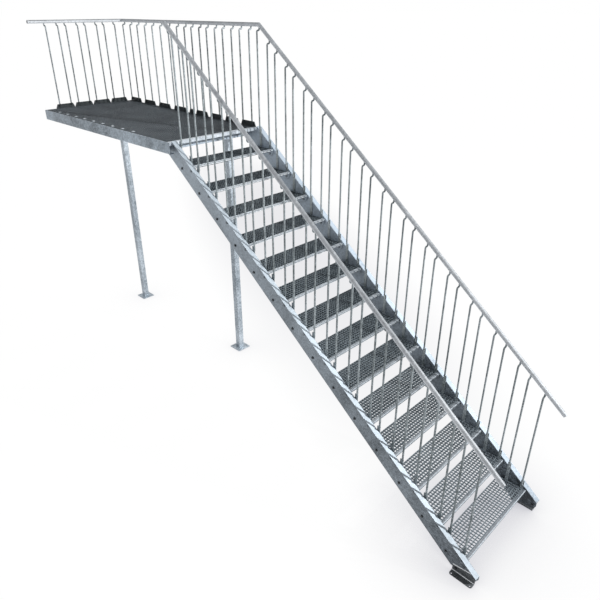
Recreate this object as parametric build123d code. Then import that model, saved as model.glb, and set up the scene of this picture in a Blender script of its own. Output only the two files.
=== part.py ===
from build123d import *
from math import atan, cos, sin, tan
import os

# Galvanised steel staircase: one straight flight and a landing beside a wall.
# The flight falls along +X from the landing's front edge. +Y is the open side and -Y the wall
# side, and +Z is up from the floor. The whole is centred on its box before it is written, so
# the origin of every file is the middle of that box, on the floor.

os.makedirs("parts", exist_ok=True)

# Stair geometry
rise = 194.0
going = 250.0
risers = 15
clear_width = 1015.0

# Stringers: a folded plate with one flange along its top, turned outwards
plate = 5.0
flange_width = 50.0
fold_radius = 7.0
stringer_above = 8.0
stringer_below = 205.0
stringer_tail = 150.0
stringer_foot_x = 3612.0
foot_cut_height = 35.0
foot_nose_height = 73.0
foot_bevel = 20.0

# Treads: welded grating between two side plates, with an angle as its nosing
tread_depth = 270.0
grating_height = 30.0
grating_bar = 3.0
tread_rows = 2
tread_columns = 5
nosing_width = 32.0
nosing_thickness = 3.0
side_plate = 3.0
side_plate_height = 76.0
side_plate_chamfer = 30.0
tread_bolt_back = 44.0
tread_bolt_spacing = 145.0
tread_bolt_drop = 51.0

# Balusters: round bar with a swan neck under the rail, welded to a flat tab on the flight
bar_diameter = 16.0
neck_radius = 15.0
neck_offset = 32.0
neck_stub = 10.0
weld_bite = 2.0
tab_width = 30.0
tab_thickness = 6.0
tab_above_flange = 45.0
tab_below_bolt = 20.0

# Handrails
rail_diameter = 38.0
rail_wall = 3.0
flight_rail_height = 1025.0
landing_rail_height = 980.0
wall_rail_top_x = 15.0
rail_foot_x = 3646.0

# Landing frame: its back edge runs out a little towards the far end
landing_length = 2720.0
landing_wall_margin = 80.0
landing_widening = 95.0
edge_height = 110.0
edge_plate = 5.0
edge_flange = 45.0
landing_nosing_width = 45.0
landing_nosing_thickness = 4.0
crossbeam_width = 50.0
crossbeam_wall = 4.0
crossbeam_end_margin = 70.0
crossbeam_count = 5
cleat_leg = 60.0
cleat_thickness = 6.0

# Deck grating
deck_panels = 3
deck_rows = 3
deck_columns = 3
deck_gap = 2.0

# Bolt holes towards the wall
wall_holes = 8
wall_hole_spacing = 330.0
wall_hole_radius = 7.0
wall_hole_height = 18.0

# Landing balusters, welded to plates that stand up inside the edge plates
bar_foot_gap = 20.0
pair_plate_above = 50.0
pair_plate_step = 8.0
pair_plate_margin = 25.0
pair_plate_flare = 20.0
end_pairs = 4
end_pair_gap = 150.0
end_pair_pitch = 250.0
end_first_bar = 190.0
back_pairs_by_flight = 4
back_first_bar = 66.0
back_pair_gap = 152.0
back_pair_pitch = 290.0
back_single_gap = 141.0
back_pairs_by_end = 4
back_end_first_gap = 156.0
back_end_pair_gap = 185.0
back_end_pair_pitch = 362.0

# Posts
post_size = 70.0
post_wall = 4.0
post_cap = 8.0
post_base_size = 180.0
post_base_thickness = 10.0
post_hole_spacing = 130.0
post_hole_radius = 7.0
flight_post_back = 430.0
flight_post_inset = 82.0
end_post_inset = 236.0

# Foot brackets
bracket_length = 200.0
bracket_width = 60.0
bracket_thickness = 6.0
bracket_toe_gap = 22.0
bracket_back_height = 60.0
bracket_front_height = 92.0
bracket_corner = 18.0
bracket_hole_spacing = 165.0
bracket_hole_inset = 15.0
bracket_hole_radius = 7.0

# Sizes that follow from the ones above
slope = atan(rise / going)
deck_level = rise * risers
web_inner = clear_width / 2
web_outer = web_inner + plate
bar_radius = bar_diameter / 2
rail_radius = rail_diameter / 2
bar_line = web_inner - tab_thickness - bar_radius + weld_bite
rail_line = bar_line + neck_offset
tread_length = clear_width - 2 * tab_thickness
wall_edge = -(web_outer + landing_wall_margin)
skew = atan(landing_widening / landing_length)
grating_underside = deck_level - grating_height
edge_underside = deck_level - edge_height
crossbeam_underside = edge_underside + edge_plate
corner_x = (flight_rail_height - landing_rail_height) / tan(slope)
corner_overhang = rail_line - web_outer - edge_plate / cos(skew) + corner_x * tan(skew)
bar_inset = neck_offset - corner_overhang * cos(skew)
pair_plate_thickness = bar_inset - edge_plate - bar_radius + weld_bite
deck_inset = edge_plate + pair_plate_thickness + deck_gap
end_rail_x = -landing_length + bar_inset - neck_offset


def nosing_level(x):
    """Height of the line through the tread nosings, at x down the flight."""
    return deck_level - x * tan(slope)


def flange_level(x):
    """Height of the top face of the stringer flange."""
    return nosing_level(x) + stringer_above / cos(slope)


def web_underside(x):
    """Height of the lower edge of the stringer web."""
    return nosing_level(x) - stringer_below / cos(slope)


def back_line(x, inset=0.0):
    """Y of a line inside the landing's back edge and parallel to it."""
    return web_outer - x * tan(skew) + (edge_plate - inset) / cos(skew)


# Helpers for plain shapes
def block(x0, x1, y0, y1, z0, z1):
    """A block between two corners."""
    low = (Align.MIN, Align.MIN, Align.MIN)
    return Pos(x0, y0, z0) * Box(x1 - x0, y1 - y0, z1 - z0, align=low)


def side_prism(points, y0, y1):
    """A prism whose outline lies in the XZ plane, from y0 to y1."""
    outline = make_face(Polyline(*[(x, 0, z) for x, z in points], close=True))
    return Pos(0, y0, 0) * extrude(outline, y1 - y0, dir=(0, 1, 0))


def plan_prism(points, z0, z1):
    """A prism whose outline lies in the XY plane, from z0 to z1."""
    outline = make_face(Polyline(*[(x, y, 0) for x, y in points], close=True))
    return Pos(0, 0, z0) * extrude(outline, z1 - z0, dir=(0, 0, 1))


def mirrored(shape):
    """The same piece on the other side of the flight."""
    return mirror(shape, Plane.XZ)


# Stringers
def make_stringer():
    """The open side's stringer: the folded profile, cut to its outline seen from the side."""
    depth = stringer_above + stringer_below
    outer = plate + flange_width
    corners = [(0, -depth), (0, 0), (outer, 0), (outer, -plate), (plate, -plate), (plate, -depth)]
    profile = make_face(Polyline(*corners, close=True))
    profile = fillet(profile.vertices().sort_by_distance(corners[1])[0], fold_radius)
    profile = fillet(profile.vertices().sort_by_distance(corners[4])[0], fold_radius - plate)
    start = Plane(
        origin=(-stringer_tail, web_inner, flange_level(-stringer_tail)),
        x_dir=(0, 1, 0),
        z_dir=(cos(slope), 0, -sin(slope)),
    )
    run = (stringer_tail + stringer_foot_x + going) / cos(slope)
    corner_of_cut = (web_underside(0) - foot_cut_height) / tan(slope)
    above = plate + fold_radius
    outline = side_prism(
        [
            (-stringer_tail, web_underside(-stringer_tail)),
            (-stringer_tail, grating_underside),
            (0, grating_underside),
            (0, flange_level(0) + above),
            (stringer_foot_x, flange_level(stringer_foot_x) + above),
            (stringer_foot_x, foot_nose_height),
            (stringer_foot_x - foot_bevel, foot_cut_height),
            (corner_of_cut, foot_cut_height),
        ],
        web_inner - plate,
        web_outer + outer,
    )
    return extrude(start * profile, run) & outline


# Foot brackets
def make_foot_bracket():
    """An angle on the outer face of the web, with a rounded floor plate and two anchor holes."""
    front = stringer_foot_x - bracket_toe_gap
    back = front - bracket_length
    middle = (front + back) / 2
    toe = web_outer + bracket_width
    floor_plate = block(back, front, web_outer, toe, 0, bracket_thickness)
    corners = [edge for edge in floor_plate.edges().filter_by(Axis.Z) if edge.center().Y > toe - 1]
    floor_plate = fillet(corners, bracket_corner)
    for side in (-1, 1):
        hole = Cylinder(bracket_hole_radius, 4 * bracket_thickness)
        at = middle + side * bracket_hole_spacing / 2
        floor_plate -= Pos(at, toe - bracket_hole_inset, 0) * hole
    leg = side_prism(
        [(back, 0), (front, 0), (front, bracket_front_height), (back, bracket_back_height)],
        web_outer,
        web_outer + bracket_thickness,
    )
    return floor_plate + leg


# Treads
def make_tread(number):
    """Tread 1 is the highest. Its nosing is at x = going, and the next ones follow down."""
    depth = tread_depth - nosing_width
    width = tread_length - 2 * side_plate
    pitch_x = (depth - grating_bar) / tread_rows
    pitch_y = (width - grating_bar) / tread_columns
    cells = GridLocations(pitch_x, pitch_y, tread_rows, tread_columns)
    lattice = Rectangle(depth, width) - cells * Rectangle(pitch_x - grating_bar, pitch_y - grating_bar)
    tread = Pos(-nosing_width - depth / 2, 0, -grating_height) * extrude(lattice, grating_height)
    half = width / 2
    tread += block(-nosing_width, 0, -half, half, -nosing_thickness, 0)
    tread += block(-nosing_thickness, 0, -half, half, -grating_height, 0)
    shoulder = side_plate_chamfer - side_plate_height
    side = side_prism(
        [
            (-tread_depth, 0),
            (-tread_depth, shoulder),
            (-tread_depth + side_plate_chamfer, -side_plate_height),
            (-side_plate_chamfer, -side_plate_height),
            (0, shoulder),
            (0, 0),
        ],
        half,
        half + side_plate,
    )
    tread += side + mirrored(side)
    return Pos(number * going, 0, nosing_level(number * going)) * tread


# Balusters
def make_bar(bottom, rail_level, rail_slope=0.0):
    """A bar on the Z axis with a swan neck towards +Y, its end shaped to the rail above."""
    bend = rail_level - rail_radius / cos(rail_slope) - neck_stub - neck_radius
    route = [(0, 0, bottom), (0, 0, bend), (0, neck_offset, bend), (0, neck_offset, rail_level)]
    path = FilletPolyline(*route, radius=neck_radius)
    bar = sweep(Plane(origin=route[0]) * Circle(bar_radius), path)
    run = Plane(origin=route[-1], z_dir=(cos(rail_slope), 0, -sin(rail_slope)))
    return bar - run * Cylinder(rail_radius, 4 * rail_diameter)


def make_flight_bar(x):
    """A baluster of the open side at tread 1, with its tab between the tread and the stringer."""
    tab_top = flange_level(x) + tab_above_flange
    tab_bottom = nosing_level(going) - tread_bolt_drop - tab_below_bolt
    bar = make_bar(tab_top - tab_above_flange, nosing_level(x) + flight_rail_height, slope)
    bar = Pos(x, bar_line, 0) * bar
    tab = block(
        x - tab_width / 2,
        x + tab_width / 2,
        web_inner - tab_thickness,
        web_inner,
        tab_bottom,
        tab_top,
    )
    return bar + tab


def make_flight_bars():
    """Two balusters to each tread, at its front and rear bolts."""
    front = make_flight_bar(going - tread_bolt_back)
    rear = make_flight_bar(going - tread_bolt_back - tread_bolt_spacing)
    bars = []
    for step in range(risers - 1):
        down = Pos(step * going, 0, -step * rise)
        bars += [down * front, down * rear]
    return bars


def end_edge_frame(y):
    """A frame on the end edge's outer face at deck level, with its y axis pointing outwards."""
    return Plane(origin=(-landing_length, y, deck_level), x_dir=(0, 1, 0), z_dir=(0, 0, 1))


def back_edge_frame(x):
    """A frame on the back edge's outer face at deck level, with its y axis pointing outwards."""
    along = (cos(skew), -sin(skew), 0)
    return Plane(origin=(x, back_line(x), deck_level), x_dir=along, z_dir=(0, 0, 1))


def make_bar_group(frame, pair_gap):
    """Two bars, or one where the gap is 0, on a plate that narrows above the deck."""
    top = pair_gap / 2 + pair_plate_margin
    foot = top + pair_plate_flare
    group = side_prism(
        [
            (-foot, -grating_height),
            (foot, -grating_height),
            (foot, pair_plate_step),
            (top, pair_plate_above),
            (-top, pair_plate_above),
            (-foot, pair_plate_step),
        ],
        -edge_plate - pair_plate_thickness,
        -edge_plate,
    )
    bar = Pos(0, -bar_inset, 0) * make_bar(bar_foot_gap, landing_rail_height)
    for side in (-1, 1) if pair_gap else (0,):
        group += Pos(side * pair_gap / 2, 0, 0) * bar
    return frame.location * group


def end_pair_places():
    """Middle of each pair of bars along the end edge, and the gap between its two bars."""
    first = wall_edge + end_first_bar + end_pair_gap / 2
    return [(first + index * end_pair_pitch, end_pair_gap) for index in range(end_pairs)]


def back_pair_places():
    """Middle of each pair along the back edge, from the flight to the far end."""
    places = []
    for index in range(back_pairs_by_flight):
        start = back_first_bar + index * back_pair_pitch
        places.append((-start - back_pair_gap / 2, back_pair_gap))
    single = back_first_bar + (back_pairs_by_flight - 1) * back_pair_pitch + back_pair_gap
    single += back_single_gap
    places.append((-single, 0.0))
    for index in range(back_pairs_by_end):
        start = single + back_end_first_gap + index * back_end_pair_pitch
        places.append((-start - back_end_pair_gap / 2, back_end_pair_gap))
    return places


def make_landing_balusters(places, frame_at):
    """All the groups along one edge."""
    return [make_bar_group(frame_at(middle), gap) for middle, gap in places]


# Handrails
def make_rail(start, end, before=None, after=None):
    """A tube from start to end, mitred where it meets the rail before or after it."""
    run = (end - start).normalized()
    reach = 2 * rail_diameter
    tail = start - run * reach if before else start
    head = end + run * reach if after else end
    section = Circle(rail_radius) - Circle(rail_radius - rail_wall)
    tube = extrude(Plane(origin=tail, z_dir=run) * section, (head - tail).length)
    if before:
        mitre = Plane(origin=start, z_dir=run + (start - before).normalized())
        tube = split(tube, bisect_by=mitre, keep=Keep.TOP)
    if after:
        mitre = Plane(origin=end, z_dir=run + (after - end).normalized())
        tube = split(tube, bisect_by=mitre, keep=Keep.BOTTOM)
    return tube


def flight_rail_point(x, y):
    return Vector(x, y, nosing_level(x) + flight_rail_height)


def landing_rail_points():
    """Ends of the landing's rails: at the wall, at the far corner, and above the flight."""
    level = deck_level + landing_rail_height
    far_corner = Vector(end_rail_x, back_line(end_rail_x, bar_inset - neck_offset), level)
    return Vector(end_rail_x, wall_edge, level), far_corner, Vector(corner_x, rail_line, level)


# Landing
def make_wall_edge():
    """The edge plate towards the wall, drilled for wall bolts."""
    inner = wall_edge + edge_plate
    edge = block(-landing_length, 0, wall_edge, inner, edge_underside, deck_level)
    far = -landing_length + edge_plate
    flange = wall_edge + edge_flange
    edge += block(far, 0, inner, flange, edge_underside, crossbeam_underside)
    for x in wall_hole_places():
        hole = Rot(90, 0, 0) * Cylinder(wall_hole_radius, 4 * edge_plate)
        edge -= Pos(x, wall_edge, crossbeam_underside + wall_hole_height) * hole
    return edge


def wall_hole_places():
    margin = (landing_length - (wall_holes - 1) * wall_hole_spacing) / 2
    return [-margin - index * wall_hole_spacing for index in range(wall_holes)]


def make_end_edge():
    """The edge plate at the far end, between the other two."""
    outer = -landing_length
    inner = outer + edge_plate
    near = wall_edge + edge_plate
    corners = [(outer, near), (inner, near)]
    corners += [(inner, back_line(inner, edge_plate)), (outer, back_line(outer, edge_plate))]
    return plan_prism(corners, edge_underside, deck_level)


def make_back_edge():
    """The open side's edge plate; its flange stops where the stringer comes in."""
    far = -landing_length
    flange_far = far + edge_plate
    tail = -stringer_tail
    web = plan_prism(
        [
            (0, back_line(0)),
            (far, back_line(far)),
            (far, back_line(far, edge_plate)),
            (0, back_line(0, edge_plate)),
        ],
        edge_underside,
        deck_level,
    )
    foot = plan_prism(
        [
            (tail, back_line(tail, edge_plate)),
            (flange_far, back_line(flange_far, edge_plate)),
            (flange_far, back_line(flange_far, edge_flange)),
            (tail, back_line(tail, edge_flange)),
        ],
        edge_underside,
        crossbeam_underside,
    )
    return web + foot


def make_landing_nosing():
    """The angle along the landing's front edge."""
    wall_side = wall_edge + edge_plate
    open_side = back_line(0, deck_inset)
    top = deck_level - landing_nosing_thickness
    nosing = block(-landing_nosing_width, 0, wall_side, open_side, top, deck_level)
    nosing += block(
        -landing_nosing_thickness, 0, wall_side, open_side, grating_underside, deck_level
    )
    return nosing


def make_crossbeam(x):
    """A rectangular tube across the landing, cut to the slant of the back edge."""
    half = crossbeam_width / 2
    near = wall_edge + edge_plate

    def tube(inset, low, high):
        x0 = x - half + inset
        x1 = x + half - inset
        corners = [(x0, near), (x1, near)]
        corners += [(x1, back_line(x1, edge_plate)), (x0, back_line(x0, edge_plate))]
        return plan_prism(corners, low, high)

    bore = tube(crossbeam_wall, crossbeam_underside + crossbeam_wall, grating_underside - crossbeam_wall)
    return tube(0, crossbeam_underside, grating_underside) - bore


def crossbeam_places():
    """The first one closes the flight's stringers; the others start above the flight's post."""
    run = landing_length - crossbeam_end_margin - flight_post_back
    spacing = run / (crossbeam_count - 1)
    others = [-flight_post_back - index * spacing for index in range(crossbeam_count)]
    return [-stringer_tail - crossbeam_width / 2] + others


def make_cleat():
    """The angle that joins the open side's stringer to the first crossbeam."""
    x = -stringer_tail
    y = web_inner
    web_leg = block(x, x + cleat_leg, y - cleat_thickness, y, crossbeam_underside, grating_underside)
    beam_leg = block(x, x + cleat_thickness, y - cleat_leg, y, crossbeam_underside, grating_underside)
    return web_leg + beam_leg


def make_deck_panel(index):
    """One grating panel, with its outer side cut to the slant of the back edge."""
    first = -landing_length + deck_inset
    panel_length = (-landing_nosing_width - first - (deck_panels - 1) * deck_gap) / deck_panels
    x0 = first + index * (panel_length + deck_gap)
    x1 = x0 + panel_length
    near = wall_edge + edge_plate + deck_gap

    def outline(inset):
        corners = [(x0 + inset, near + inset), (x1 - inset, near + inset)]
        for x in (x1 - inset, x0 + inset):
            corners.append((x, back_line(x, deck_inset + inset)))
        return make_face(Polyline(*corners, close=True))

    width = back_line(x0, deck_inset) - near
    pitch_x = (panel_length - grating_bar) / deck_columns
    pitch_y = (width - grating_bar) / deck_rows
    centre = Pos((x0 + x1) / 2, near + width / 2)
    clear = outline(grating_bar)
    lattice = outline(0)
    for at in GridLocations(pitch_x, pitch_y, deck_columns, deck_rows):
        lattice -= centre * at * Rectangle(pitch_x - grating_bar, pitch_y - grating_bar) & clear
    return Pos(0, 0, grating_underside) * extrude(lattice, grating_height)


# Posts
def make_post(x, y):
    """A square tube, closed by a cap under its crossbeam."""
    height = crossbeam_underside - post_base_thickness
    bore = post_size - 2 * post_wall
    post = extrude(Rectangle(post_size, post_size), height)
    post -= extrude(Rectangle(bore, bore), height - post_cap)
    return Pos(x, y, post_base_thickness) * post


def make_post_base(x, y):
    """The base plate, with four anchor holes."""
    base = extrude(Rectangle(post_base_size, post_base_size), post_base_thickness)
    for at in GridLocations(post_hole_spacing, post_hole_spacing, 2, 2):
        base -= at * Cylinder(post_hole_radius, 4 * post_base_thickness)
    return Pos(x, y, 0) * base


def post_places():
    """Both posts stand under a crossbeam, inside the back edge."""
    end_x = crossbeam_places()[-1]
    flight_x = -flight_post_back
    return {
        "end_post": (end_x, back_line(end_x, end_post_inset)),
        "flight_post": (flight_x, back_line(flight_x, flight_post_inset)),
    }


# Assembly: the name of each file with its solids
def make_staircase():
    parts = {}
    stringer = make_stringer()
    parts["open_side_stringer"] = [stringer]
    parts["wall_side_stringer"] = [mirrored(stringer)]
    for number in range(1, risers):
        parts[f"tread_{number:02d}"] = [make_tread(number)]
    bracket = make_foot_bracket()
    parts["open_side_foot_bracket"] = [bracket]
    parts["wall_side_foot_bracket"] = [mirrored(bracket)]
    bars = make_flight_bars()
    parts["open_side_balusters"] = bars
    parts["wall_side_balusters"] = [mirrored(bar) for bar in bars]

    at_wall, far_corner, above_flight = landing_rail_points()
    open_foot = flight_rail_point(rail_foot_x, rail_line)
    wall_top = flight_rail_point(wall_rail_top_x, -rail_line)
    wall_foot = flight_rail_point(rail_foot_x, -rail_line)
    parts["open_side_handrail"] = [make_rail(above_flight, open_foot, before=far_corner)]
    parts["wall_side_handrail"] = [make_rail(wall_top, wall_foot)]
    parts["back_handrail"] = [make_rail(far_corner, above_flight, at_wall, open_foot)]
    parts["end_handrail"] = [make_rail(at_wall, far_corner, after=above_flight)]
    parts["end_balusters"] = make_landing_balusters(end_pair_places(), end_edge_frame)
    parts["back_balusters"] = make_landing_balusters(back_pair_places(), back_edge_frame)

    parts["landing_wall_edge"] = [make_wall_edge()]
    parts["landing_end_edge"] = [make_end_edge()]
    parts["landing_back_edge"] = [make_back_edge()]
    parts["landing_nosing"] = [make_landing_nosing()]
    parts["landing_crossbeams"] = [make_crossbeam(x) for x in crossbeam_places()]
    for index in range(deck_panels):
        parts[f"deck_panel_{index + 1}"] = [make_deck_panel(index)]
    cleat = make_cleat()
    parts["stringer_cleats"] = [cleat, mirrored(cleat)]
    for name, (x, y) in post_places().items():
        parts[name] = [make_post(x, y)]
        parts[f"{name}_base"] = [make_post_base(x, y)]
    return parts


staircase = make_staircase()
extent = Compound([solid for solids in staircase.values() for solid in solids]).bounding_box()
centred = Pos(-extent.center().X, -extent.center().Y, -extent.min.Z)
for name, solids in staircase.items():
    export_step(Compound(children=[centred * solid for solid in solids]), f"parts/{name}.step")
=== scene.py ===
import bmesh
import bpy
import math
import numpy as np
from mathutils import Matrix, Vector


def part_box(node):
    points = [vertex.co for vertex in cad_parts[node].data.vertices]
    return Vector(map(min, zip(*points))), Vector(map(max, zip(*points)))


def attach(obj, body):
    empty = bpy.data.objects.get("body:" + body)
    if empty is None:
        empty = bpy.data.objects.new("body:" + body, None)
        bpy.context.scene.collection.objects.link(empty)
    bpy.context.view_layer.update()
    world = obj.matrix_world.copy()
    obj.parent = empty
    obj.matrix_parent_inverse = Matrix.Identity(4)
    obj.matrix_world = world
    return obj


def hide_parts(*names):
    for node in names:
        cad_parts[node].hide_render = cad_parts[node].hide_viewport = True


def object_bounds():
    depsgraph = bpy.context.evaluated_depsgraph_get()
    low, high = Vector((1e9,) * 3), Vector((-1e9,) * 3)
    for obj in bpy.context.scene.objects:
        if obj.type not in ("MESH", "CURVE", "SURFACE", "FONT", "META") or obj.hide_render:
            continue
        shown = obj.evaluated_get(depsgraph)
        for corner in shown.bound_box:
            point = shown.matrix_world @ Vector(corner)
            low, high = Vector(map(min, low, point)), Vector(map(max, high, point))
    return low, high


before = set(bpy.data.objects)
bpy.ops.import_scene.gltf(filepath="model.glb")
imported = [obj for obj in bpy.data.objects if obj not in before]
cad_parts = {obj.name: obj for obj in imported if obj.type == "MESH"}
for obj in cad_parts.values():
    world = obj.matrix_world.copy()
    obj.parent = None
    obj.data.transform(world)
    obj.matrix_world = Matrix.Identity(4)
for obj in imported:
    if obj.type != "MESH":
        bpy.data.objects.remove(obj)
cad_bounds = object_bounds()
MM = 0.001


# Stringers
# Two folded steel channels carry the flight, with cleats at their heads. They are hot-dip
# galvanised: zinc crystals give cells of slightly different tone, under wide cloudy mottling.
class Nodes:
    """A node tree, in which one method adds every kind of node."""

    def __init__(self, tree):
        self.tree = tree

    def add(self, kind, sockets, **settings):
        node = self.tree.nodes.new(kind)
        for name, value in settings.items():
            setattr(node, name, value)
        for key, value in sockets.items():
            self.put(node.inputs[key], value)
        return node

    def put(self, socket, value):
        """Links a socket or a field to an input, or sets the input's own value."""
        if isinstance(value, Field):
            value = value.socket
        if isinstance(value, bpy.types.NodeSocket):
            self.tree.links.new(value, socket)
        else:
            socket.default_value = value

    def field(self, kind, sockets, output=0, **settings):
        """Adds a node and gives one of its outputs as a value for sums."""
        return Field(self, self.add(kind, sockets, **settings).outputs[output])

    def mix(self, factor, first, second):
        """A colour between two others, which are sockets 6 and 7 of a Mix node for colours."""
        return self.add("ShaderNodeMix", {0: factor, 6: first, 7: second}, data_type="RGBA").outputs[2]

    def height(self, place):
        """The Z part of a vector."""
        return self.field("ShaderNodeSeparateXYZ", {0: place}, "Z")


class Field:
    """A value in a node tree that takes part in sums."""

    def __init__(self, nodes, socket):
        self.nodes = nodes
        self.socket = socket

    def _join(self, operation, first, second):
        return self.nodes.field("ShaderNodeMath", {0: first, 1: second}, operation=operation)

    def __add__(self, other):
        return self._join("ADD", self, other)

    def __radd__(self, other):
        return self._join("ADD", other, self)

    def __sub__(self, other):
        return self._join("SUBTRACT", self, other)

    def __rsub__(self, other):
        return self._join("SUBTRACT", other, self)

    def __mul__(self, other):
        return self._join("MULTIPLY", self, other)

    def __rmul__(self, other):
        return self._join("MULTIPLY", other, self)

    def __truediv__(self, other):
        return self._join("DIVIDE", self, other)

    def __rtruediv__(self, other):
        return self._join("DIVIDE", other, self)

    def __lt__(self, other):
        return self._join("LESS_THAN", self, other)


def new_material(name):
    """A material with its node tree and its main shader."""
    material = bpy.data.materials.new(name)
    material.use_nodes = True
    return material, Nodes(material.node_tree), material.node_tree.nodes["Principled BSDF"]


ZINC_METAL = 0.45
CLOUD_SHARE = 2.2
PATCH_SHARE = 1.6
CRYSTAL_SHARE = 0.7
STREAK_SHARE = 1.1
PATCH_SCALE = 1.3
BLACK_DROP = 1.5
MIDDLE_HEIGHT = 1.3
GRAIN_DEPTH = 0.5 * MM


def galvanised(
    name,
    dark,
    light,
    level=0.5,
    contrast=0.5,
    rough=0.42,
    cells=70,
    clouds=5,
    up=0.0,
    high=0.0,
    black_below=None,
):
    """Zinc between two tones.

    Level is its middle tone. Up is painted light on what faces up, and painted shade there when below zero.
    High is a painted light gradient: lighter above the middle height, darker below it, the other way round
    when below zero.
    What is lower than black_below is as dark as the darker tone.
    """
    material, nodes, shader = new_material(name)
    place = nodes.add("ShaderNodeTexCoord", {}).outputs["Object"]
    crystal_colour = nodes.add("ShaderNodeTexVoronoi", {"Vector": place, "Scale": cells}).outputs["Color"]
    crystal = nodes.field("ShaderNodeSeparateColor", {0: crystal_colour})
    cloudy = {"Vector": place, "Scale": clouds, "Detail": 6, "Roughness": 0.62}
    cloud = nodes.field("ShaderNodeTexNoise", cloudy)
    streak = nodes.field("ShaderNodeTexNoise", {"Vector": place, "Scale": clouds * 9, "Detail": 3})
    patch = nodes.field("ShaderNodeTexNoise", {"Vector": place, "Scale": PATCH_SCALE, "Detail": 3})
    wide = (cloud - 0.5) * CLOUD_SHARE + (patch - 0.5) * PATCH_SHARE
    fine = (crystal - 0.5) * CRYSTAL_SHARE
    tone = (wide + fine + (streak - 0.5) * STREAK_SHARE) * contrast + level
    # Painted light: up lightens what faces up, and high lightens the tone with height.
    if up:
        tone = tone + nodes.height(nodes.add("ShaderNodeNewGeometry", {}).outputs["Normal"]) * up
    if high:
        tone = tone + (nodes.height(place) - MIDDLE_HEIGHT) * high
    if black_below:
        tone = tone - (nodes.height(place) < black_below) * BLACK_DROP
    nodes.put(shader.inputs["Base Color"], nodes.mix(tone, (*dark, 1), (*light, 1)))
    nodes.put(shader.inputs["Roughness"], crystal * 0.14 + cloud * 0.16 + (rough - 0.15))
    shader.inputs["Metallic"].default_value = ZINC_METAL
    grain = crystal * 0.5 + streak * 0.5
    bump = nodes.add("ShaderNodeBump", {"Strength": 0.12, "Distance": GRAIN_DEPTH, "Height": grain})
    nodes.put(shader.inputs["Normal"], bump.outputs[0])
    return material


def paint(coat, *names):
    """Gives a coat to parts that keep their CAD shape."""
    for name in names:
        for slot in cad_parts[name].material_slots:
            slot.material = coat


# Painted light in the stringers' tone: flanges that face up are lighter, and the plate grows lighter
# towards the top of the flight and darker towards its foot.
steel_plate = galvanised(
    "galvanised_plate",
    (0.05, 0.06, 0.07),
    (0.50, 0.565, 0.62),
    contrast=0.34,
    rough=0.62,
    up=0.45,
    high=0.23,
)
# The open side's coat carries stronger painted light of the same kind; it also coats the cleats, the
# landing's crossbeams and the treads' side plates.
steel_far_plate = galvanised(
    "galvanised_far_plate",
    (0.03, 0.038, 0.045),
    (0.47, 0.545, 0.62),
    level=0.45,
    contrast=0.35,
    rough=0.6,
    up=0.6,
    high=0.3,
)
paint(steel_plate, "wall_side_stringer")
paint(steel_far_plate, "open_side_stringer", "stringer_cleats")


# Foot brackets
# An angle of dark plate on the outside of each stringer's foot, bolted to the floor through two holes.
# Bright beads along its bend and sloping top edge paint highlights; the top one also stands for a weld.
class Shape:
    """Points and faces of one piece, gathered before its object is made."""

    def __init__(self):
        self.points = []
        self.faces = []
        self.coats = []

    def add(self, points, faces, coat=0):
        start = len(self.points)
        self.points += [tuple(point) for point in points]
        self.faces += [tuple(start + index for index in face) for face in faces]
        self.coats += [coat] * len(faces)

    def box(self, low, high, coat=0):
        (x0, y0, z0), (x1, y1, z1) = low, high
        points = [(x, y, z) for z in (z0, z1) for y in (y0, y1) for x in (x0, x1)]
        faces = [(0, 2, 3, 1), (4, 5, 7, 6), (0, 1, 5, 4), (2, 6, 7, 3), (0, 4, 6, 2), (1, 3, 7, 5)]
        self.add(points, faces, coat)

    def tube(self, rings, coat=0):
        """Closed skin over rings of the same number of points, with flat ends.

        Seen from the last ring's side, the points of a ring run counter-clockwise.
        """
        size = len(rings[0])
        points = [point for ring in rings for point in ring]
        last = (len(rings) - 1) * size
        faces = [tuple(range(size - 1, -1, -1)), tuple(range(last, last + size))]
        for ring in range(len(rings) - 1):
            for i in range(size):
                a, b = ring * size + i, ring * size + (i + 1) % size
                faces.append((a, b, b + size, a + size))
        self.add(points, faces, coat)

    def build(self, name, materials, offset=(0, 0, 0), outwards=False):
        """Makes the object. With outwards, Blender works out which way the faces point."""
        mesh = bpy.data.meshes.new(name)
        points = np.array(self.points) + np.array(offset)
        mesh.from_pydata(points.tolist(), [], self.faces)
        for material in materials:
            mesh.materials.append(material)
        mesh.polygons.foreach_set("material_index", self.coats)
        if outwards:
            work = bmesh.new()
            work.from_mesh(mesh)
            bmesh.ops.recalc_face_normals(work, faces=work.faces)
            work.to_mesh(mesh)
            work.free()
        piece = bpy.data.objects.new(name, mesh)
        bpy.context.collection.objects.link(piece)
        return piece


BEAD = 6 * MM
BEAD_RIPPLE = 4 * MM
BEAD_SWELL = 0.10
BEAD_ANGLES = [math.radians(angle) for angle in (0, 30, 60, 90)]


def highlight_bead(shape, start, end, side, up):
    """A rippled fillet bead in the corner between two directions."""
    start, end = Vector(start), Vector(end)
    count = max(2, round((end - start).length / BEAD_RIPPLE))
    rings = []
    for step in range(count + 1):
        at = start.lerp(end, step / count)
        reach = BEAD * (1 + BEAD_SWELL * (-1) ** step)
        arc = [side * reach * math.cos(angle) + up * reach * math.sin(angle) for angle in BEAD_ANGLES]
        rings.append([tuple(at)] + [tuple(at + part) for part in arc])
    shape.tube(rings)


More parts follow.
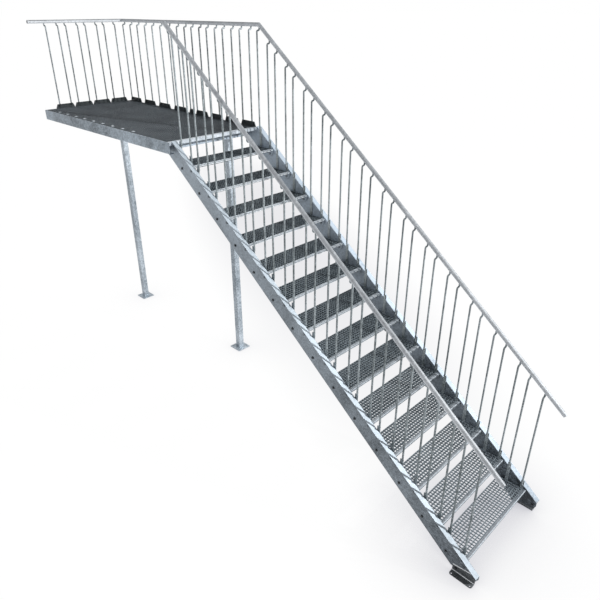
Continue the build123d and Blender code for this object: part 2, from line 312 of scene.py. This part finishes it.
steel_foot = galvanised("galvanised_foot", (0.07, 0.078, 0.083), (0.155, 0.167, 0.175), rough=0.6)
# Bright zinc for the beads that paint highlights on the brackets' edges.
steel_bead_highlight = galvanised("zinc_bead_highlight", (0.60, 0.62, 0.64), (0.84, 0.86, 0.88), clouds=60)
SIDES = (("open", 1), ("wall", -1))
FOOT_PLATE = 6 * MM
LEG_BACK = 60 * MM
LEG_FRONT = 92 * MM
for side, sign in SIDES:
    node = side + "_side_foot_bracket"
    paint(steel_foot, node)
    low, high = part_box(node)
    web = low[1] if sign > 0 else high[1]
    out = Vector((0, sign, 0))
    up = Vector((0, 0, 1))
    beads = Shape()
    bend = web + sign * FOOT_PLATE
    highlight_bead(beads, (low[0], bend, low[2] + FOOT_PLATE), (high[0], bend, low[2] + FOOT_PLATE), out, up)
    highlight_bead(beads, (low[0], web, low[2] + LEG_BACK), (high[0], web, low[2] + LEG_FRONT), out, up)
    piece = beads.build(side + "_side_foot_highlight_beads", [steel_bead_highlight], outwards=True)
    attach(piece, "root")


# Landing frame
# Folded edge plates round the deck, square tubes under it, and a bright nosing along the
# edge where the flight begins.
steel_nosing = galvanised("galvanised_nosing", (0.40, 0.45, 0.50), (0.74, 0.80, 0.85), rough=0.34)
# Painted light: the edge plates are lighter where they face up.
steel_edge = galvanised(
    "galvanised_edge",
    (0.085, 0.105, 0.125),
    (0.50, 0.58, 0.65),
    level=0.45,
    contrast=0.6,
    clouds=9,
    up=0.4,
)
paint(steel_edge, "landing_wall_edge", "landing_back_edge", "landing_end_edge")
paint(steel_far_plate, "landing_crossbeams")
paint(steel_nosing, "landing_nosing")


# Posts
# Two square tubes with welded base plates hold up the outer side of the landing. They are
# galvanised too, with wide pale clouds.
steel_post = galvanised("galvanised_post", (0.15, 0.185, 0.215), (0.62, 0.69, 0.75), clouds=4, contrast=0.6)
paint(steel_post, "end_post", "flight_post", "end_post_base", "flight_post_base")


# Treads
# Pressed grating of narrow bars, 30 mm apart both ways, between two side plates, with a
# punched nosing. Node groups spread the bars and the holes over a given depth and width.
def new_group(name, inputs):
    """A geometry group with named inputs, its nodes, and the inputs as values for sums."""
    group = bpy.data.node_groups.new(name, "GeometryNodeTree")
    for label, kind in inputs:
        group.interface.new_socket(label, in_out="INPUT", socket_type="NodeSocket" + kind)
    group.interface.new_socket("Geometry", in_out="OUTPUT", socket_type="NodeSocketGeometry")
    nodes = Nodes(group)
    given = nodes.add("NodeGroupInput", {})
    return group, nodes, {label: Field(nodes, given.outputs[label]) for label, kind in inputs}


def finish_group(nodes, geometry, given):
    """The end of every group: real geometry with its material."""
    real = nodes.add("GeometryNodeRealizeInstances", {0: geometry}).outputs[0]
    coated = nodes.add("GeometryNodeSetMaterial", {"Geometry": real, "Material": given["Material"]})
    nodes.add("NodeGroupOutput", {0: coated.outputs[0]})


def vector(nodes, x=0.0, y=0.0, z=0.0):
    """A vector from three numbers or values."""
    return nodes.add("ShaderNodeCombineXYZ", {0: x, 1: y, 2: z}).outputs[0]


def make_bar_group():
    """Bearing bars along the width and cross bars along the depth, their tops at height 0."""
    inputs = [
        ("Depth", "Float"),
        ("Width", "Float"),
        ("Bearing bars", "Int"),
        ("Cross bars", "Int"),
        ("Bearing height", "Float"),
        ("Cross height", "Float"),
        ("Thickness", "Float"),
        ("Material", "Material"),
    ]
    group, nodes, given = new_group("bar_rows", inputs)
    thick = given["Thickness"]
    rows = []
    for label, across in (("Bearing", True), ("Cross", False)):
        count = given[label + " bars"]
        height = given[label + " height"]
        room = given["Depth" if across else "Width"] - thick
        gap = room / (count - 1)
        if across:
            start = vector(nodes, room * -0.5, 0.0, height * -0.5)
            step = vector(nodes, gap)
            size = vector(nodes, thick, given["Width"], height)
        else:
            start = vector(nodes, 0.0, room * -0.5, height * -0.5)
            step = vector(nodes, 0.0, gap)
            size = vector(nodes, given["Depth"], thick, height)
        line = nodes.add("GeometryNodeMeshLine", {"Count": count, "Start Location": start, "Offset": step})
        bar = nodes.add("GeometryNodeMeshCube", {"Size": size})
        spread = {"Points": line.outputs[0], "Instance": bar.outputs[0]}
        rows.append(nodes.add("GeometryNodeInstanceOnPoints", spread).outputs[0])
    join = nodes.add("GeometryNodeJoinGeometry", {0: rows[0]})
    nodes.put(join.inputs[0], rows[1])
    finish_group(nodes, join.outputs[0], given)
    return group


def make_punched_group():
    """Rows and columns of one cell of punched plate."""
    inputs = [
        ("Cell", "Geometry"),
        ("Rows", "Int"),
        ("Columns", "Int"),
        ("Row pitch", "Float"),
        ("Column pitch", "Float"),
        ("Material", "Material"),
    ]
    group, nodes, given = new_group("punched_holes", inputs)
    size_x = (given["Rows"] - 1) * given["Row pitch"]
    size_y = (given["Columns"] - 1) * given["Column pitch"]
    counts = {"Vertices X": given["Rows"], "Vertices Y": given["Columns"]}
    grid = nodes.add("GeometryNodeMeshGrid", {"Size X": size_x, "Size Y": size_y, **counts})
    spread = {"Points": grid.outputs[0], "Instance": given["Cell"]}
    finish_group(nodes, nodes.add("GeometryNodeInstanceOnPoints", spread).outputs[0], given)
    return group


def evaluated_mesh(group, values, source=None):
    """The plain mesh that a node group makes with these named inputs."""
    mesh = source or bpy.data.meshes.new("source")
    carrier = bpy.data.objects.new("carrier", mesh)
    bpy.context.collection.objects.link(carrier)
    modifier = carrier.modifiers.new("rows", "NODES")
    modifier.node_group = group
    for item in group.interface.items_tree:
        if item.in_out == "INPUT" and item.name in values:
            modifier[item.identifier] = values[item.name]
    bpy.context.view_layer.update()
    result = bpy.data.meshes.new_from_object(carrier.evaluated_get(bpy.context.evaluated_depsgraph_get()))
    carrier.modifiers.remove(modifier)
    bpy.data.objects.remove(carrier)
    return result


def read_mesh(mesh):
    """A mesh's points as rows of numbers, and its faces."""
    points = np.empty(len(mesh.vertices) * 3)
    mesh.vertices.foreach_get("co", points)
    return points.reshape(-1, 3), [tuple(face.vertices) for face in mesh.polygons]


def make_hole_cell(size_x, size_y, radius, thickness):
    """One oblong of plate with an eight-sided hole, its top at height 0."""
    sides = 8
    angles = [math.radians(45 * corner + 22.5) for corner in range(sides)]
    ring = [(radius * math.cos(a), radius * math.sin(a)) for a in angles]
    edge = [(1, 0.41), (0.41, 1), (-0.41, 1), (-1, 0.41), (-1, -0.41), (-0.41, -1), (0.41, -1), (1, -0.41)]
    rim = [(size_x / 2 * x, size_y / 2 * y) for x, y in edge]
    corners = [(size_x / 2 * x, size_y / 2 * y) for x, y in ((1, 1), (-1, 1), (-1, -1), (1, -1))]
    flat = ring + rim + corners
    points = [(x, y, 0) for x, y in flat] + [(x, y, -thickness) for x, y in flat]
    below = len(flat)
    tops = []
    walls = []
    for i in range(sides):
        j = (i + 1) % sides
        tops.append((i, sides + i, sides + j, j))
        walls.append((i, j, below + j, below + i))
    for i in range(len(corners)):
        tops.append((sides + 2 * i, 2 * sides + i, sides + 2 * i + 1))
    undersides = [tuple(below + index for index in reversed(face)) for face in tops]
    cell = bpy.data.meshes.new("hole_cell")
    cell.from_pydata(points, [], tops + undersides + walls)
    return cell


# Painted light in the grating: bar tops that face up are lighter, and the bars grow darker towards the top
# of the flight and lighter towards its foot.
steel_grating = galvanised(
    "galvanised_grating",
    (0.022, 0.03, 0.037),
    (0.34, 0.395, 0.43),
    contrast=0.25,
    up=0.3,
    high=-0.19,
)
# Painted light in the punched band and lip: lighter towards the top of the flight, darker towards its foot.
steel_band = galvanised(
    "galvanised_band",
    (0.17, 0.195, 0.22),
    (0.84, 0.89, 0.93),
    level=0.45,
    contrast=0.3,
    high=0.38,
)
bar_rows = make_bar_group()
punched_holes = make_punched_group()
TREADS = sorted(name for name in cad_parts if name.startswith("tread_"))
first_low, first_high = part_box(TREADS[0])
tread_depth = first_high[0] - first_low[0]
tread_width = first_high[1] - first_low[1]
tread_drop = first_high[2] - first_low[2]
GRATING = 30 * MM
BAR = 2.5 * MM
CROSS = 12 * MM
BEARING_BARS = 9
CROSS_BARS = 34
PLATE = 3 * MM
CHAMFER = 30 * MM
NOSING = 32 * MM
GAP = 4 * MM
EDGE = 7 * MM
# Depth of the painted shade strip on the nosing's front face.
SHADE_STRIP_DEPTH = 8 * MM
LIP = 14 * MM
HOLE_ROWS = 2
HOLE_PITCH = 12 * MM
HOLE_RADIUS = 3.6 * MM
BAR_COAT, SIDE_COAT, EDGE_COAT, BAND_COAT, SHADE_STRIP_COAT = range(5)
tread_coats = [steel_grating, steel_far_plate, steel_nosing, steel_band, steel_foot]

# The tread's front top edge lies along x = 0, z = 0, and its middle along y = 0.
inner = tread_width / 2 - PLATE
grating_depth = tread_depth - NOSING
grating_sizes = {
    "Depth": grating_depth,
    "Width": 2 * inner,
    "Bearing bars": BEARING_BARS,
    "Cross bars": CROSS_BARS,
    "Bearing height": GRATING,
    "Cross height": CROSS,
    "Thickness": BAR,
    "Material": steel_grating,
}
tread = Shape()
points, faces = read_mesh(evaluated_mesh(bar_rows, grating_sizes))
tread.add(points + np.array((-NOSING - grating_depth / 2, 0, 0)), faces, BAR_COAT)
shoulder = CHAMFER - tread_drop
outline = [
    (-tread_depth, 0),
    (-tread_depth, shoulder),
    (-tread_depth + CHAMFER, -tread_drop),
    (-CHAMFER, -tread_drop),
    (0, shoulder),
    (0, 0),
]
for low in (-tread_width / 2, inner):
    tread.tube([[(x, y, z) for x, z in outline] for y in (low + PLATE, low)], SIDE_COAT)

band = NOSING - GAP - EDGE
columns = round(2 * inner / HOLE_PITCH)
row_pitch = band / HOLE_ROWS
column_pitch = 2 * inner / columns
hole_cell = make_hole_cell(row_pitch, column_pitch, HOLE_RADIUS, PLATE)
hole_sizes = {
    "Rows": HOLE_ROWS,
    "Columns": columns,
    "Row pitch": row_pitch,
    "Column pitch": column_pitch,
    "Material": steel_band,
}
points, faces = read_mesh(evaluated_mesh(punched_holes, hole_sizes, hole_cell))
tread.add(points + np.array((-EDGE - band / 2, 0, 0)), faces, BAND_COAT)
tread.box((-NOSING, -inner, -3 * PLATE), (-NOSING + GAP, inner, -2 * PLATE), BAR_COAT)
tread.box((-EDGE, -inner, -PLATE), (0, inner, 0), EDGE_COAT)
# Painted shade: a dark strip of bracket coat on the nosing's front face, just under its top edge.
tread.box((-PLATE, -inner, -SHADE_STRIP_DEPTH), (0, inner, -PLATE), SHADE_STRIP_COAT)
tread.box((-PLATE, -inner, -LIP), (0, inner, -SHADE_STRIP_DEPTH), BAND_COAT)
for name in TREADS:
    paint(steel_grating, name)
    low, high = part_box(name)
    offset = (high[0], (low[1] + high[1]) / 2, high[2])
    piece = tread.build(name + "_grating", tread_coats, offset)
    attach(piece, "root")
    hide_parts(name)


# Deck
# Three panels of the same grating. Their outer side follows the slant of the landing's back
# edge, so the bars that run along the deck stop where the slant cuts them.
steel_deck = galvanised("galvanised_deck", (0.02, 0.026, 0.032), (0.165, 0.19, 0.21), contrast=0.3)
PANELS = sorted(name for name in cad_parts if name.startswith("deck_panel_"))
DECK_PITCH = 30 * MM
deck_edge = []
for name in PANELS:
    low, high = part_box(name)
    deck_edge.append((low[0], high[1]))
(edge_x0, edge_y0), (edge_x1, edge_y1) = deck_edge[0], deck_edge[-1]
edge_slant = (edge_y1 - edge_y0) / (edge_x1 - edge_x0)


def deck_limit(x):
    """How far out the deck reaches at this place along the landing."""
    return edge_y0 + (x - edge_x0) * edge_slant


for name in PANELS:
    paint(steel_deck, name)
    low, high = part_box(name)
    top = high[2]
    panel = Shape()
    columns = round((high[0] - low[0]) / DECK_PITCH)
    for column in range(columns + 1):
        x = low[0] + column * (high[0] - low[0] - BAR) / columns
        depth = GRATING if column in (0, columns) else CROSS
        panel.box((x, low[1], top - depth), (x + BAR, deck_limit(x + BAR), top))
    rows = round((high[1] - low[1]) / DECK_PITCH)
    for row in range(rows):
        y = low[1] + row * (high[1] - low[1] - BAR) / rows
        end = min(high[0], edge_x0 + (y + BAR - edge_y0) / edge_slant)
        if end - low[0] > BAR:
            panel.box((low[0], y, top - GRATING), (end, y + BAR, top))
    x0, x1 = low[0], high[0]
    y0, y1 = deck_limit(x0), deck_limit(x1)
    corners = [(x0, y0 - BAR), (x1, y1 - BAR), (x1, y1), (x0, y0)]
    panel.tube([[(x, y, z) for x, y in corners] for z in (top - GRATING, top)])
    piece = panel.build(name + "_grating", [steel_deck])
    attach(piece, "root")
    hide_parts(name)


# Deck clips
# Small bright steel clips along the deck's wall edge, which hold the grating down on the
# landing's frame.
CLIPS = 9
CLIP_START = 286 * MM
CLIP_PITCH = 212 * MM
CLIP_INSET = 30 * MM
CLIP_SIZE = (34 * MM, 26 * MM, 3 * MM)
deck_low, deck_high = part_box(PANELS[0])
landing_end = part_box("landing_wall_edge")[0][0]
clips = Shape()
for number in range(CLIPS):
    corner = (landing_end + CLIP_START + number * CLIP_PITCH, deck_low[1] + CLIP_INSET, deck_high[2])
    clips.box(corner, [start + size for start, size in zip(corner, CLIP_SIZE)])
piece = clips.build("deck_clips", [steel_nosing])
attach(piece, "root")


# Bolts
# Hexagon heads with washers on the outer faces of both stringers, and their nuts inside the
# tread side plates: two to each tread end. Two more hold each foot bracket.
def make_bolt_group():
    """A hexagon on a round washer at each point of a mesh, all turned the same way."""
    inputs = [
        ("Places", "Geometry"),
        ("Head radius", "Float"),
        ("Head height", "Float"),
        ("Washer radius", "Float"),
        ("Washer height", "Float"),
        ("Turn", "Vector"),
        ("Material", "Material"),
    ]
    group, nodes, given = new_group("bolt_heads", inputs)
    join = nodes.add("GeometryNodeJoinGeometry", {})
    for sides, part in ((6, "Head"), (20, "Washer")):
        height = given[part + " height"]
        sizes = {"Vertices": sides, "Radius": given[part + " radius"], "Depth": height}
        disc = nodes.add("GeometryNodeMeshCylinder", sizes).outputs[0]
        lift = vector(nodes, 0.0, 0.0, height * 0.5)
        raised = nodes.add("GeometryNodeTransform", {"Geometry": disc, "Translation": lift})
        nodes.put(join.inputs[0], raised.outputs[0])
    turn = nodes.add("FunctionNodeEulerToRotation", {0: given["Turn"]}).outputs[0]
    spread = {"Points": given["Places"], "Instance": join.outputs[0], "Rotation": turn}
    finish_group(nodes, nodes.add("GeometryNodeInstanceOnPoints", spread).outputs[0], given)
    return group


# Radius and height in millimetres
HEAD = (10, 7.5)
HEAD_WASHER = (13, 2.5)
NUT = (9.5, 8)
NUT_WASHER = (12, 2)


def make_bolts(name, places, turn, coat, hexagon=HEAD, washer=HEAD_WASHER):
    """Bolt heads or nuts at these places, each lying along its turned Z axis."""
    cloud = bpy.data.meshes.new(name + "_places")
    cloud.from_pydata(places, [], [])
    values = {
        "Head radius": hexagon[0] * MM,
        "Head height": (hexagon[1] + washer[1]) * MM,
        "Washer radius": washer[0] * MM,
        "Washer height": washer[1] * MM,
        "Turn": turn,
        "Material": coat,
    }
    mesh = evaluated_mesh(bolt_heads, values, cloud)
    mesh.name = name
    piece = bpy.data.objects.new(name, mesh)
    bpy.context.collection.objects.link(piece)
    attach(piece, "root")


steel_bolt = galvanised("zinc_bolt", (0.02, 0.022, 0.026), (0.09, 0.10, 0.11), clouds=40)
steel_bright_bolt = galvanised("zinc_bright_bolt", (0.10, 0.115, 0.13), (0.32, 0.355, 0.39), clouds=40)
bolt_heads = make_bolt_group()
WEB = 5 * MM
BOLT_ROWS = (("front", 44 * MM, steel_bright_bolt), ("rear", 189 * MM, steel_bolt))
BOLT_DROP = 51 * MM
LEG_REAR_BOLT = (30 * MM, 42 * MM)
LEG_FRONT_BOLT = (14 * MM, 72 * MM)
for side, sign in SIDES:
    low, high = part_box(side + "_side_stringer")
    web_face = (low[1] + WEB) if sign > 0 else (high[1] - WEB)
    outward = (-math.pi / 2 * sign, 0, 0)
    inward = (math.pi / 2 * sign, 0, 0)
    for label, back, coat in BOLT_ROWS:
        heads = []
        nuts = []
        for name in TREADS:
            low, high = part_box(name)
            inside = (high[1] - PLATE) if sign > 0 else (low[1] + PLATE)
            heads.append((high[0] - back, web_face, high[2] - BOLT_DROP))
            nuts.append((high[0] - back, inside, high[2] - BOLT_DROP))
        make_bolts(f"{side}_side_{label}_bolts", heads, outward, coat)
        make_bolts(f"{side}_side_{label}_nuts", nuts, inward, coat, NUT, NUT_WASHER)
    low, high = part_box(side + "_side_foot_bracket")
    rear = (low[0] + LEG_REAR_BOLT[0], low[2] + LEG_REAR_BOLT[1])
    front = (high[0] - LEG_FRONT_BOLT[0], low[2] + LEG_FRONT_BOLT[1])
    heads = [(x, web_face + sign * FOOT_PLATE, z) for x, z in (rear, front)]
    nuts = [(x, web_face - sign * WEB, z) for x, z in (rear, front)]
    make_bolts(side + "_side_bracket_bolts", heads, outward, steel_bolt)
    make_bolts(side + "_side_bracket_nuts", nuts, inward, steel_bolt, NUT, NUT_WASHER)


# Balusters
# Round bars with swan necks. The flight's stand on tabs beside the treads, and the
# landing's stand in pairs on plates that are almost black.
steel_bar = galvanised(
    "galvanised_bar",
    (0.09, 0.11, 0.115),
    (0.40, 0.445, 0.465),
    cells=90,
    clouds=3,
    contrast=0.7,
)
PLATE_RISE = 54 * MM
steel_rail_bar = galvanised(
    "galvanised_rail_bar",
    (0.04, 0.048, 0.052),
    (0.40, 0.445, 0.465),
    clouds=3,
    contrast=0.7,
    black_below=deck_high[2] + PLATE_RISE,
)
paint(steel_bar, "wall_side_balusters", "open_side_balusters")
paint(steel_rail_bar, "back_balusters", "end_balusters")


# Handrails
# Round steel tube, satin grey, mitred at its corners. Its upper side has painted shade, so
# that the key light doesn't turn it white.
steel_tube = galvanised(
    "galvanised_tube",
    (0.24, 0.255, 0.27),
    (0.78, 0.81, 0.84),
    level=0.6,
    contrast=0.3,
    rough=0.6,
    up=-0.6,
)
paint(steel_tube, "wall_side_handrail", "open_side_handrail", "back_handrail", "end_handrail")


# Floor
# A wide pale floor that runs out to white all round. The camera sees painted shade on it: soft
# lilac where something stands close over it, and a wide painted pool of shadow behind the landing.
# Lamps add only faint shadows to what the camera sees.
REACH = 400
FLOOR_GAP = 0.5 * MM
SHADE_REACH = 0.8
POOL_MIDDLE = (-3.9, 3.9, 0)
POOL_TURN = (0, 0, math.radians(151.8))
POOL_SIZE = (11, 2.1, 1)
POOL_DEPTH = 0.3
BACKDROP_SHARE = 0.985
WHITE = (1, 1, 1, 1)
LILAC = (0.36, 0.36, 0.43, 1)
floor_mesh = bpy.data.meshes.new("floor")
floor_corners = [(-REACH, -REACH, 0), (REACH, -REACH, 0), (REACH, REACH, 0), (-REACH, REACH, 0)]
floor_mesh.from_pydata(floor_corners, [], [(0, 1, 2, 3)])
floor = bpy.data.objects.new("floor", floor_mesh)
floor.location.z = cad_bounds[0][2] - FLOOR_GAP
bpy.context.collection.objects.link(floor)
floor_coat, floor_nodes, floor_shader = new_material("pale_floor")
floor_shader.inputs["Base Color"].default_value = (0.97, 0.965, 0.975, 1)
floor_shader.inputs["Roughness"].default_value = 0.85
floor_shader.inputs["Specular IOR Level"].default_value = 0.1
open_sky = floor_nodes.field("ShaderNodeAmbientOcclusion", {"Distance": SHADE_REACH}, "AO", samples=12)
floor_place = floor_nodes.add("ShaderNodeTexCoord", {}).outputs["Object"]
oval = {"Vector": floor_place, "Location": POOL_MIDDLE, "Rotation": POOL_TURN, "Scale": POOL_SIZE}
in_oval = floor_nodes.add("ShaderNodeMapping", oval, vector_type="TEXTURE").outputs[0]
away = floor_nodes.field("ShaderNodeVectorMath", {0: in_oval}, "Value", operation="LENGTH")
fade = {0: away, 1: 0.2, 2: 1.0, 3: POOL_DEPTH, 4: 0.0}
pool = floor_nodes.field("ShaderNodeMapRange", fade, interpolation_type="SMOOTHSTEP")
# Painted shade: lilac where something stands close over the floor, darker still in the painted pool.
shade = floor_nodes.mix(open_sky * 0.85 + 0.17 - pool, LILAC, WHITE)
glow = floor_nodes.add("ShaderNodeEmission", {"Color": shade, "Strength": 1.01})


def backdrop_rays(nodes):
    """1 for the rays that show the backdrop: the camera's own and those off metal."""
    path = nodes.add("ShaderNodeLightPath", {})
    kinds = ("Is Camera Ray", "Is Glossy Ray", "Is Transmission Ray")
    camera_ray, glossy_ray, clear_ray = (Field(nodes, path.outputs[kind]) for kind in kinds)
    return camera_ray + glossy_ray + clear_ray


share = backdrop_rays(floor_nodes) * BACKDROP_SHARE
surface = floor_nodes.add("ShaderNodeMixShader", {0: share, 1: floor_shader.outputs[0], 2: glow.outputs[0]})
floor_nodes.put(floor_coat.node_tree.nodes["Material Output"].inputs["Surface"], surface.outputs[0])
floor_mesh.materials.append(floor_coat)


# Light
# A key light from beyond the foot of the flight, high on the open side, with an even pale
# sky. The camera sees plain white behind everything.
key_data = bpy.data.lights.new("key", "AREA")
key_data.shape = "DISK"
key_data.size = 0.3
key_data.energy = 1150
key = bpy.data.objects.new("key", key_data)
key.location = (9.0, 4.0, 6.5)
key_target = Vector((0, 0, 1.2))
key.rotation_euler = (key_target - key.location).to_track_quat("-Z", "Y").to_euler()
bpy.context.collection.objects.link(key)

SKY_LOW = (0.34, 0.35, 0.37, 1)
SKY_HIGH = (0.46, 0.47, 0.49, 1)
world = bpy.data.worlds.new("studio")
bpy.context.scene.world = world
world.use_nodes = True
sky = Nodes(world.node_tree)
backdrop = world.node_tree.nodes["Background"]
towards = sky.add("ShaderNodeTexCoord", {}).outputs["Generated"]
gradient = sky.mix(sky.height(towards) * 0.5 + 0.5, SKY_LOW, SKY_HIGH)
sky.put(backdrop.inputs["Color"], sky.mix(backdrop_rays(sky), gradient, WHITE))
bpy.context.scene.view_settings.view_transform = "Standard"


# Camera
# Above the wall side and beyond the foot, looking down at the flight. Focus is the focal
# length in widths of the picture.
AZIMUTH = math.radians(134.685)
ELEVATION = math.radians(-27.504)
FOCUS = 561.48 / 600
camera_data = bpy.data.cameras.new("camera")
camera_data.sensor_width = 36
camera_data.lens = FOCUS * camera_data.sensor_width
camera = bpy.data.objects.new("camera", camera_data)
camera.location = (4.1926, -3.5643, 4.0365)
flat = math.cos(ELEVATION)
ahead = Vector((flat * math.cos(AZIMUTH), flat * math.sin(AZIMUTH), math.sin(ELEVATION)))
camera.rotation_euler = ahead.to_track_quat("-Z", "Y").to_euler()
bpy.context.collection.objects.link(camera)
bpy.context.scene.camera = camera
